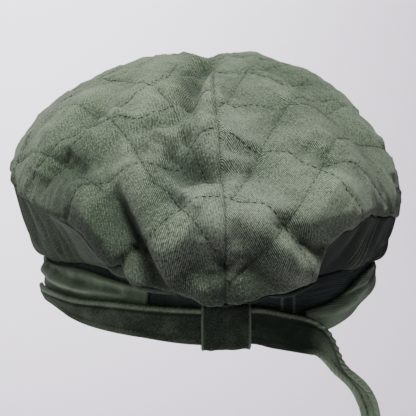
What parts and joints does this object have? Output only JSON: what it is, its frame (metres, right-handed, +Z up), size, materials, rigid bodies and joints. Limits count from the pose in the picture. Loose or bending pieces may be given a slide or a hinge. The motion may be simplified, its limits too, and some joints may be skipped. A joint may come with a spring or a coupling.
{
  "type": "army cap",
  "caption": "Soft quilted army cap: puffed two-piece crown over a gathered side, headband, side cuff, and a flat tie that runs round the back through a wide loop and hangs free",
  "frame": {"origin": "centre of the head opening, level with the band's lowest edge at the back, where the cap sits on a head", "axes": "+X to the wearer's right, +Y to the forehead, +Z up"},
  "size_m": [0.1874, 0.2538, 0.1846],
  "materials": {
    "crown_cloth": "worn sage-green cotton twill, quilted with dark thread",
    "side_cloth": "olive cotton twill, gathered",
    "band_cloth": "dark olive cotton",
    "cuff_cloth": "olive cotton twill with drape folds",
    "tie_cloth": "olive cotton with a rope-like stitched hem",
    "loop_cloth": "olive cotton with plain selvedges",
    "thread": "dark olive sewing thread"
  },
  "bodies": {
    "root": {"crown_left": "crown_cloth", "crown_right": "crown_cloth", "under_crown": "side_cloth", "headband": "band_cloth", "cuff": "cuff_cloth", "tie_strap": "tie_cloth", "back_loop": "loop_cloth"}
  },
  "joints": []
}
